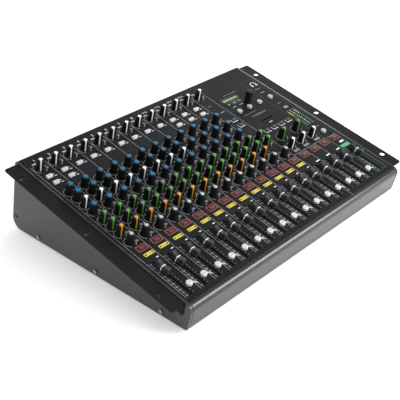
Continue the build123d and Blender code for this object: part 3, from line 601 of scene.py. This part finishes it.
def add_fader_cap(bm, box, gap):
    """A finger grip with a hollow top, round crests and tapering sides."""
    x, s = middle(box).xy
    half_width = (box[1].x - box[0].x) / 2
    half = (box[1].y - box[0].y) / 2
    low, top = gap, box[1].z
    crest = half - 1.5
    rings = []
    for i in range(CAP_STEPS + 1):
        along = -half + 2 * half * i / CAP_STEPS
        end = max(0.0, (abs(along) - crest) / (half - crest))
        level = top - saddle(along, crest, CAP_DIP) - 2.4 * end ** 2
        shrink = 0.5 * end ** 2
        wide = half_width - shrink
        narrow = half_width - CAP_TAPER - shrink
        knee = low + 2.0
        profile = [(-wide, low), (wide, low), (wide, knee), (narrow + 0.25, level - 0.5),
                   (narrow - 0.25, level), (-narrow + 0.25, level), (-narrow - 0.25, level - 0.5),
                   (-wide, knee)]
        rings.append([(x + across, s + along, height) for across, height in profile])
    stack(bm, rings)


def add_fader_line(bm, box, gap):
    """The white line across the bottom of the hollow and down both sides."""
    x, s = middle(box).xy
    half_width = (box[1].x - box[0].x) / 2
    level = box[1].z - CAP_DIP
    narrow = half_width - CAP_TAPER
    outer = [(-half_width - 0.06, gap + 1.2), (-half_width - 0.06, gap + 2.0),
             (-narrow - 0.32, level - 0.42), (-narrow + 0.22, level + 0.08),
             (narrow - 0.22, level + 0.08), (narrow + 0.32, level - 0.42),
             (half_width + 0.06, gap + 2.0), (half_width + 0.06, gap + 1.2)]
    inner = [(across * 0.90, height - 0.45) for across, height in outer]
    width = 0.65
    ring = outer + list(reversed(inner))
    stack(bm, [[(x + a, s + shift, h) for a, h in ring] for shift in (-width, width)])


def add_fader_ridges(bm, box):
    """Fine grip ridges on both slopes of the hollow."""
    x, s = middle(box).xy
    half = (box[1].y - box[0].y) / 2 - 1.5
    narrow = (box[1].x - box[0].x) / 2 - CAP_TAPER - 0.5
    for place in (-0.72, -0.56, -0.40, 0.40, 0.56, 0.72):
        along = place * half
        level = box[1].z - saddle(along, half, CAP_DIP)
        prism(bm, rectangle(x, s + along, 2 * narrow, 0.35), level - 0.2, level + 0.14)


def make_faders():
    for number in range(1, len(columns) + 1):
        node = f"fader_{number}"
        boxes = solid_boxes(node)
        cap = max(boxes, key=lambda box: box[1].z)
        carriage = min(boxes, key=lambda box: box[0].z)
        gap = cap[0].z
        bm = bmesh.new()
        add_fader_cap(bm, cap, gap)
        add_fader_ridges(bm, cap)
        grip = make_piece(node + "_cap", bm, cap_grey, node, sharp=28)
        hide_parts(node)
        bm = bmesh.new()
        add_fader_line(bm, cap, gap)
        make_piece(node + "_line", bm, POINTER_MATERIALS["white"], node, smooth=False)
        bm = bmesh.new()
        x, s = middle(carriage).xy
        prism(bm, rectangle(x, s, 1.2, 4.0), carriage[1].z - 8, gap + 0.5)
        prism(bm, rounded(x, s, 6.0, 7.0, 0.8), carriage[0].z, carriage[0].z + 4)
        make_piece(node + "_stem", bm, screw_metal, node, smooth=False)


# ---- printing ----
MUTE_OFFSET_X = 2.0
columns = [middle(box).x - MUTE_OFFSET_X for box in solid_boxes("mute_buttons")]
columns.sort()
CHANNELS = 13               # columns with yellow bars and long dividers
MONO = 8                    # of them, those with a number of their own
PITCH = columns[1] - columns[0]
DIVIDER_X = 11.5
DIVIDER_WIDTH = 0.45
DIVIDER_FRONT = 26.0
LONG_DIVIDER_FRONT = 17.0
DIVIDER_BACK = 310.0
SHORT_DIVIDER_BACK = 124.0
CROSS_LINE_S = 123.3
NUMBER_S = 318.6            # the channel numbers
GROUP_BAR_S = 103.8         # the yellow bars
NOTCH_HIGH = PRINT_HIGH + 0.03
SCALE_LOW = 28.9
SCALE_HIGH = 88.9
SCALE_MARKS = ((0.0, ""), (0.09, ""), (0.17, "40"), (0.26, "30"), (0.36, "20"), (0.48, "10"),
               (0.60, "5"), (0.75, "0"), (0.88, "5"), (1.0, "10"))


def label(bm, x, s, width=5.0, height=1.1):
    """A short plain bar where the real panel has a word."""
    prism(bm, rectangle(x, s, width, height), PRINT_LOW, PRINT_HIGH)


def print_dividers(bm):
    for index in range(CHANNELS):
        x = columns[index] + DIVIDER_X
        front = LONG_DIVIDER_FRONT if index == CHANNELS - 1 else DIVIDER_FRONT
        print_line(bm, (x, front), (x, DIVIDER_BACK), DIVIDER_WIDTH)
    left = columns[0] - PITCH + DIVIDER_X + 0.4
    print_line(bm, (left, DIVIDER_FRONT), (left, DIVIDER_BACK), DIVIDER_WIDTH)
    for index in (CHANNELS, CHANNELS + 1):
        x = columns[index] + DIVIDER_X
        print_line(bm, (x, DIVIDER_FRONT), (x, SHORT_DIVIDER_BACK), DIVIDER_WIDTH)
    master = columns[CHANNELS - 1] + DIVIDER_X
    print_line(bm, (master, CROSS_LINE_S), (master + 3 * PITCH, CROSS_LINE_S), DIVIDER_WIDTH)


def print_knob_rings(bm):
    """A scale arc round every knob, from 7 to 5 o'clock, with a stop mark at each end."""
    for node in knob_nodes:
        for box in top_boxes(node):
            x, s = middle(box).xy
            base = (box[1].x - box[0].x) / 2
            radius = base + (3.2 if node.startswith("gain") else 1.9)
            print_arc(bm, x, s, radius, -150, 150, 0.5)
            for degrees in (-150, 150):
                spot = clock_point(x, s, radius + 0.5, degrees)
                prism(bm, circle(*spot, 0.55, 10), PRINT_LOW, PRINT_HIGH)
            if near(box, "pan_knob_1"):
                spot = clock_point(x, s, radius + 0.9, 0)
                prism(bm, circle(*spot, 0.5, 10), PRINT_LOW, PRINT_HIGH)


knob_nodes = ["gain_knob_1", "gain_knobs", "tone_knobs", "send_knobs", "pan_knob_1", "monitor_knob_1",
              "monitor_knob_2", "output_knob_1", "output_knob_2", "output_knob_3"]
knob_nodes += [f"tone_knob_{n}" for n in range(1, 5)] + [f"send_knob_{n}" for n in range(1, 4)]


def print_knob_labels(bm):
    for node in knob_nodes:
        for box in top_boxes(node):
            x, s = middle(box).xy
            if not node.startswith(("monitor", "output")):
                label(bm, x + 9.6, s - 3.4, 3.4, 0.9)
                label(bm, x + 9.6, s - 1.6, 2.6, 0.7)


def print_column_marks(bm):
    for index in range(CHANNELS):
        x = columns[index]
        if index < MONO:
            print_text(bm, str(index + 1), x + 0.2, NUMBER_S, 4.6)
        elif index < CHANNELS - 1:
            first = MONO + 2 * (index - MONO) + 1
            print_text(bm, f"{first}/{first + 1}", x + 0.2, NUMBER_S, 3.4)
        label(bm, x - 4.5, 312.7, 6.5, 1.3)
        label(bm, x + 6.8, 94.0, 3.8, 1.5)
    for box in solid_boxes("channel_buttons"):
        x, s = middle(box).xy
        corner = (box[1].x + 1.0, s + 2.6)
        print_line(bm, corner, (corner[0] + 3.6, corner[1]))
        print_line(bm, (corner[0] + 3.4, corner[1]), (corner[0] + 3.4, corner[1] - 1.8))
        label(bm, x + 8.8, s - 2.2, 4.2, 0.9)


def print_fader_scales(bm, numbers):
    for number in range(1, len(columns) + 1):
        box = max(solid_boxes(f"fader_{number}"), key=lambda b: b[1].z)
        slot_x = middle(box).x
        scale_x = slot_x - 5.6
        print_line(bm, (scale_x, SCALE_LOW - 3), (scale_x, SCALE_HIGH), 0.35)
        for share, text in SCALE_MARKS:
            s = SCALE_LOW + (SCALE_HIGH - SCALE_LOW) * share
            length = 1.9 if text else 1.3
            print_line(bm, (scale_x - length, s), (scale_x + length, s), 0.65)
            if text:
                print_text(numbers, text, scale_x - length - 0.9, s + 1.5, 1.4)
        for step in range(9):
            spot = (slot_x + 4.6, SCALE_LOW + 4.8 * step)
            prism(bm, circle(*spot, 0.5, 8), PRINT_LOW, PRINT_HIGH)


def print_solo_marks(bm):
    for box in solid_boxes("solo_buttons"):
        x, s = middle(box).xy
        radius = (box[1].x - box[0].x) / 2
        edge = x + radius + 1.6
        for stroke in range(4):
            label(bm, edge + 1.25 * stroke, s - 1.2 * stroke, 0.7, 3.4)
        print_line(bm, (edge - 0.4, s + 3.2), (edge + 4.6, s + 3.2), 0.4)


def print_mutes():
    """A red frame on a dark red ground round each mute button."""
    frames, grounds = bmesh.new(), bmesh.new()
    for box in solid_boxes("mute_buttons"):
        x, s = middle(box).xy
        print_box(frames, x + 0.2, s + 0.3, 15.5, 10.0, 0.75)
        gap = 0.45
        outer = rounded(x + 0.2, s + 0.3, 13.8, 8.3, 0.3)
        inner = rounded(x, s, box[1].x - box[0].x + 2 * gap, box[1].y - box[0].y + 2 * gap, 0.3)
        frame_strip(grounds, outer, inner)
    make_piece("mute_frames", frames, ink_red, "console", smooth=False)
    make_piece("mute_grounds", grounds, ink_dark_red, "console", smooth=False)


def print_yellow_bars():
    """The yellow bars under the mutes with their dark notches, and the last columns' pale ones."""
    bars, notches, light, green = bmesh.new(), bmesh.new(), bmesh.new(), bmesh.new()
    for x in columns[:CHANNELS]:
        middle_x = x + 2.4
        prism(bars, rounded(middle_x, GROUP_BAR_S, 15.2, 5.2, 0.9), PRINT_LOW, PRINT_HIGH)
        for side in (-1, 1):
            notch = rounded(middle_x + side * 5.3, GROUP_BAR_S, 2.3, 2.9, 0.4)
            prism(notches, notch, PRINT_LOW, NOTCH_HIGH)
        for shift in (-1.9, 0, 1.9):
            prism(notches, rectangle(middle_x + shift, GROUP_BAR_S, 0.9, 1.6), PRINT_LOW, NOTCH_HIGH)
    last = columns[-1]
    prism(light, rounded(last + 3.0, GROUP_BAR_S, 9.0, 3.4, 0.6), PRINT_LOW, PRINT_HIGH)
    prism(green, rounded(last, 94.8, 18.0, 6.4, 0.9), PRINT_LOW, PRINT_HIGH)
    for x in columns[CHANNELS:-1]:
        prism(light, rounded(x + 6.8, 95.0, 8.0, 2.0, 0.5), PRINT_LOW, PRINT_HIGH)
    make_piece("group_bars", bars, ink_yellow, "console", smooth=False)
    make_piece("group_bar_notches", notches, ink_black, "console", smooth=False)
    make_piece("master_bars", light, ink_white, "console", smooth=False)
    make_piece("master_bar_green", green, ink_green, "console", smooth=False)


def print_button_frames(bm):
    """A bold corner along the left and front of each dark button."""
    for box in solid_boxes("transport_buttons"):
        left, front = box[0].x - 1.3, box[0].y - 1.3
        print_line(bm, (left, box[1].y + 0.6), (left, front), 0.9)
        print_line(bm, (left - 0.45, front), (box[1].x + 1.0, front), 1.1)


def print_right_strip():
    """A green outline round the main column, and a rounded box round its fader."""
    strip, ring = bmesh.new(), bmesh.new()
    left = columns[-1] - PITCH / 2 - 1.0
    right = left + 25.0
    print_box(strip, (left + right) / 2, (26 + 293) / 2, right - left, 267.0, 0.4)
    print_box(ring, (left + right) / 2, 74.0, right - left - 3.4, 96.0, 0.4)
    make_piece("main_strip_outline", strip, ink_dark_green, "console", smooth=False)
    make_piece("main_fader_outline", ring, ink_green, "console", smooth=False)


# from the first master column: across, up the slope, width and height
FAINT_BARS = (
    (24.6, 283.5, 29.5, 0.8),
    (12.6, 230.0, 27.0, 0.6),
    (24.0, 222.6, 35.0, 0.6),
    (24.0, 220.6, 25.0, 0.6),
    (74.2, 268.0, 12.0, 1.0),
    (74.0, 257.6, 10.0, 1.4),
    (74.5, 222.8, 9.0, 0.8),
    (76.0, 149.2, 8.0, 0.9),
    (-29.5, 276.3, 7.0, 0.9),
)
MAUVE_BARS = ((4.4, 254.6, 8.0), (19.1, 254.6, 8.0), (-23.0, 255.3, 8.0))


def print_master_section(bm):
    """Plain bars in the master section, in place of its words, and the headphones sign."""
    faint, mauve = bmesh.new(), bmesh.new()
    master = columns[CHANNELS]
    for x, s, width, height in FAINT_BARS:
        label(faint, master + x, s, width, height)
    for x, s, width in MAUVE_BARS:
        label(mauve, master + x, s, width, 1.1)
    label(bm, master + 23.6, 197.8, 7.0, 1.3)
    x, s = master + 78.2, 280.2
    print_arc(bm, x, s, 5.2, -95, 95, 1.1)
    for side in (-1, 1):
        prism(bm, rounded(x + side * 4.5, s - 2.4, 2.6, 4.2, 0.9), PRINT_LOW, PRINT_HIGH)
    make_piece("faint_printing", faint, ink_grey, "console", smooth=False)
    make_piece("mauve_printing", mauve, ink_mauve, "console", smooth=False)


def make_output_pads():
    """Flat grey keys under the output knobs and one by the meter."""
    bm = bmesh.new()
    master = columns[CHANNELS]
    for x in (0.3, 23.6, 49.4):
        prism(bm, rounded(master + x, 129.0, 12.0, 4.2, 0.8), PRINT_LOW, 0.15)
    prism(bm, rounded(master + 75.2, 210.1, 8.5, 5.0, 0.8), PRINT_LOW, 0.15)
    make_piece("output_pads", bm, button_grey, "console", smooth=False)


def make_printing():
    lines, marks, numbers = bmesh.new(), bmesh.new(), bmesh.new()
    print_dividers(lines)
    print_knob_rings(lines)
    print_knob_labels(lines)
    print_fader_scales(lines, numbers)
    print_column_marks(marks)
    print_solo_marks(marks)
    print_button_frames(marks)
    print_master_section(marks)
    make_piece("printed_lines", lines, ink_line, "console", smooth=False)
    make_piece("printed_marks", marks, ink_white, "console", smooth=False)
    make_piece("scale_numbers", numbers, ink_grey, "console", smooth=False)
    print_mutes()
    print_yellow_bars()
    print_right_strip()
    make_output_pads()


# ---- display and meter ----
def make_display():
    """Smoked glass with two dark bars, a lit strip and three indicators under its surface."""
    low, high = solid_boxes("display_window")[0]
    x, s = middle((low, high)).xy
    width, length = (high - low).xy
    glass, strip, bars, dots = bmesh.new(), bmesh.new(), bmesh.new(), bmesh.new()
    outer = rounded(x, s, width + 3.0, length + 3.0, 1.4)
    inner = rounded(x, s, width + 2.4, length + 2.4, 1.1)
    stack(glass, [ring_points(outer, PRINT_LOW), ring_points(outer, 0.20), ring_points(inner, 0.35)])
    make_piece("display_glass", glass, display_black, "console")
    prism(strip, rounded(x + 0.3, s + 4.6, width - 1.4, 1.9, 0.3), 0.30, 0.38)
    for cell in range(12):
        prism(strip, rectangle(x - 14.5 + 2.7 * cell, s + 2.2, 2.0, 1.0), 0.30, 0.38)
    for shift in (-7.8, 8.4):
        prism(bars, rounded(x + shift, s + 8.0, 13.0, 2.3, 0.4), 0.30, 0.40)
    for step in range(3):
        prism(dots, circle(x - 12.6 + 12.0 * step, s - 5.8, 2.0, 24), 0.30, 0.45)
    make_piece("display_strip", strip, lit_lime, "console", smooth=False)
    make_piece("display_bars", bars, ink_black, "console", smooth=False)
    make_piece("display_dots", dots, lit_blue, "console", smooth=False)


def make_meter():
    """Lenses over the meter's lights: red above yellow above green."""
    boxes = solid_boxes("level_meter")
    rows = sorted({round(middle(box).y, 1) for box in boxes})
    groups = {"red": bmesh.new(), "yellow": bmesh.new(), "green": bmesh.new()}
    marks = bmesh.new()
    for box in boxes:
        row = rows.index(round(middle(box).y, 1))
        colour = "red" if row == len(rows) - 1 else "yellow" if row > len(rows) - 5 else "green"
        rectangular_cap(groups[colour], (Vector((*box[0].xy, -0.5)), box[1] + Vector((0, 0, 0.1))), 0.2)
    centre = sum(middle(box).x for box in boxes) / len(boxes)
    for row, s in enumerate(rows):
        label(marks, centre, s, 3.2 if row % 2 else 2.2, 0.8)
    for colour, bm in groups.items():
        piece = make_piece("meter_" + colour, bm, METER_MATERIALS[colour], "console")
        if colour == "green":
            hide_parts("level_meter")
    make_piece("meter_marks", marks, ink_white, "console", smooth=False)


display_black = new_material("display_black", (0.006, 0.0065, 0.007), 0.30, specular=0.15)
lit_lime = glowing("lit_lime", (0.24, 0.32, 0.05), 0.40)
lit_blue = glowing("lit_blue", (0.012, 0.15, 0.22), 0.25)
METER_MATERIALS = {
    "red": glowing("lens_red", (0.24, 0.03, 0.02), 0.15),
    "yellow": glowing("lens_yellow", (0.40, 0.36, 0.10), 0.2),
    "green": glowing("lens_green", (0.030, 0.16, 0.055), 0.15),
}


# ---- CAD nodes that stay as they are ----
def dress_chassis():
    dress(["control_panel"], panel_coat)
    dress(["front_fascia"], nose_shaded_coat)
    dress(["left_cheek", "right_cheek"], chassis_coat)
    dress(["rack_ear_left", "rack_ear_right"], ear_coat)
    dress(["rear_panel"], rear_coat)
    dress(["base_plate"], base_coat)
    dress(["feet"], rubber)
    dress(["screws"], screw_metal)
    dress(["control_housings", "fader_housings", "power_supply"], housing_grey)
    dress(["main_board"], board_green)
    dress(["xlr_sockets", "jack_sockets", "power_inlet"], socket_black)
    dress(["power_rocker"], button_dark)
    dress(["display_window"], display_black)
    dress(["level_meter"], METER_MATERIALS["green"])


def end_outline(node, x, grow):
    """The convex outline of a node's end at a place across, in the row frame's y and z."""
    points = sorted({(round(v.co.y, 6), round(v.co.z, 6)) for v in frame["nodes"][node].data.vertices
                     if abs(v.co.x - x) < 0.0002})
    chains = []
    for run in (points, points[::-1]):
        chain = []
        for point in run:
            while len(chain) > 1 and turn_of(chain[-2], chain[-1], point) <= 0:
                chain.pop()
            chain.append(point)
        chains += chain[:-1]
    middle_y = sum(p[0] for p in chains) / len(chains)
    middle_z = sum(p[1] for p in chains) / len(chains)
    grown = []
    for y, z in chains:
        away = Vector((y - middle_y, z - middle_z)).normalized() * grow
        grown.append((y + away.x, z + away.y))
    return grown


def turn_of(a, b, c):
    return (b[0] - a[0]) * (c[1] - a[1]) - (b[1] - a[1]) * (c[0] - a[0])


def make_painted_shadow_gaps():
    """Black bands at the fascia's ends where it meets the cheeks: painted shadow standing in for a gap
    that the flush joint doesn't have.
    """
    bm = bmesh.new()
    across = [v.co.x for v in frame["nodes"]["front_fascia"].data.vertices]
    for x, side in ((min(across), 1), (max(across), -1)):
        outline = end_outline("front_fascia", x, 0.00020)
        ends = [x + side * 0.0001, x + side * 0.0015]
        rings = [[TO_PANEL @ Vector((place, y, z)) for y, z in outline] for place in ends]
        stack(bm, rings)
    make_piece("fascia_painted_shadow_gaps", bm, ink_black, "console", smooth=False)


def soften_edges(names, width):
    """Rounds the sharp edges of CAD sheet parts a little."""
    for name in names:
        node = frame["nodes"][name]
        weld = node.modifiers.new("weld", "WELD")
        weld.merge_threshold = 0.00001
        bevel = node.modifiers.new("bevel", "BEVEL")
        bevel.width = width
        bevel.segments = 2
        bevel.limit_method = "ANGLE"
        bevel.angle_limit = math.radians(40)


# ---- floor, light and camera ----
FLOOR_SIZE = 60.0
FLOOR_GLOW = 0.42
WORLD_STRENGTH = 0.36
SUN_STRENGTH = 1.25
SUN_ANGLE = 60.0
LIT_HEIGHT = 0.06           # the box lights face a point this high over the floor's middle


def make_floor():
    material = new_material("floor_white", (0.90, 0.90, 0.90), 0.9, specular=0.1)
    shader = material.node_tree.nodes["Principled BSDF"]
    shader.inputs["Emission Color"].default_value = (1, 1, 1, 1)
    shader.inputs["Emission Strength"].default_value = FLOOR_GLOW
    bm = bmesh.new()
    bm.faces.new([bm.verts.new((x, y, 0)) for x, y in rectangle(0, 0, FLOOR_SIZE, FLOOR_SIZE)])
    mesh = bpy.data.meshes.new("floor")
    bm.to_mesh(mesh)
    bm.free()
    mesh.materials.append(material)
    floor = bpy.data.objects.new("floor", mesh)
    bpy.context.scene.collection.objects.link(floor)


def aim(thing, place, target):
    thing.location = place
    thing.rotation_mode = "QUATERNION"
    thing.rotation_quaternion = (Vector(target) - Vector(place)).to_track_quat("-Z", "Y")


def add_box_light(name, place, size, watts, long_axis):
    """A flat rectangular light that faces the object, with its length near an axis."""
    data = bpy.data.lights.new(name, "AREA")
    data.shape = "RECTANGLE"
    data.size, data.size_y = size
    data.energy = watts
    lamp = bpy.data.objects.new(name, data)
    bpy.context.scene.collection.objects.link(lamp)
    back = (Vector(place) - Vector((0, 0, LIT_HEIGHT))).normalized()
    side = Vector(long_axis) - back * back.dot(Vector(long_axis))
    side.normalize()
    lamp.location = place
    lamp.rotation_mode = "QUATERNION"
    lamp.rotation_quaternion = Matrix((side, back.cross(side), back)).transposed().to_quaternion()


def add_sun(direction, strength, angle):
    data = bpy.data.lights.new("sun", "SUN")
    data.energy = strength
    data.angle = math.radians(angle)
    lamp = bpy.data.objects.new("sun", data)
    bpy.context.scene.collection.objects.link(lamp)
    aim(lamp, direction, (0, 0, 0))


def make_lights():
    world = bpy.data.worlds.new("studio")
    bpy.context.scene.world = world
    world.use_nodes = True
    background = world.node_tree.nodes["Background"]
    background.inputs["Color"].default_value = (1, 1, 1, 1)
    background.inputs["Strength"].default_value = WORLD_STRENGTH
    add_sun((0.00, -0.20, 0.98), SUN_STRENGTH, SUN_ANGLE)
    add_box_light("nose_strip", (0.72, -1.15, 0.70), (1.0, 0.75), 24, (1, 0, 0))
    add_box_light("back_box", (0.95, 0.60, 0.85), (0.9, 0.6), 4, (1, -1, 0))
    bpy.context.scene.view_settings.view_transform = "Standard"


def make_camera():
    yaw, pitch = math.radians(CAMERA_YAW), math.radians(CAMERA_PITCH)
    level = math.cos(pitch)
    forward = Vector((math.sin(yaw) * level, math.cos(yaw) * level, -math.sin(pitch)))
    data = bpy.data.cameras.new("camera")
    data.lens = CAMERA_LENS
    data.sensor_width = SENSOR_WIDTH
    camera = bpy.data.objects.new("camera", data)
    bpy.context.scene.collection.objects.link(camera)
    camera.location = CAMERA_PLACE
    camera.rotation_mode = "QUATERNION"
    turn = forward.to_track_quat("-Z", "Y")
    roll = Matrix.Rotation(math.radians(CAMERA_ROLL), 3, "Z")
    camera.rotation_quaternion = turn @ roll.to_quaternion()
    bpy.context.scene.camera = camera


make_camera()
dress_chassis()
make_all_knobs()
make_all_buttons()
make_faders()
make_printing()
make_display()
make_meter()
make_painted_shadow_gaps()
soften_edges(["rack_ear_left", "rack_ear_right"], 0.0003)
make_floor()
make_lights()
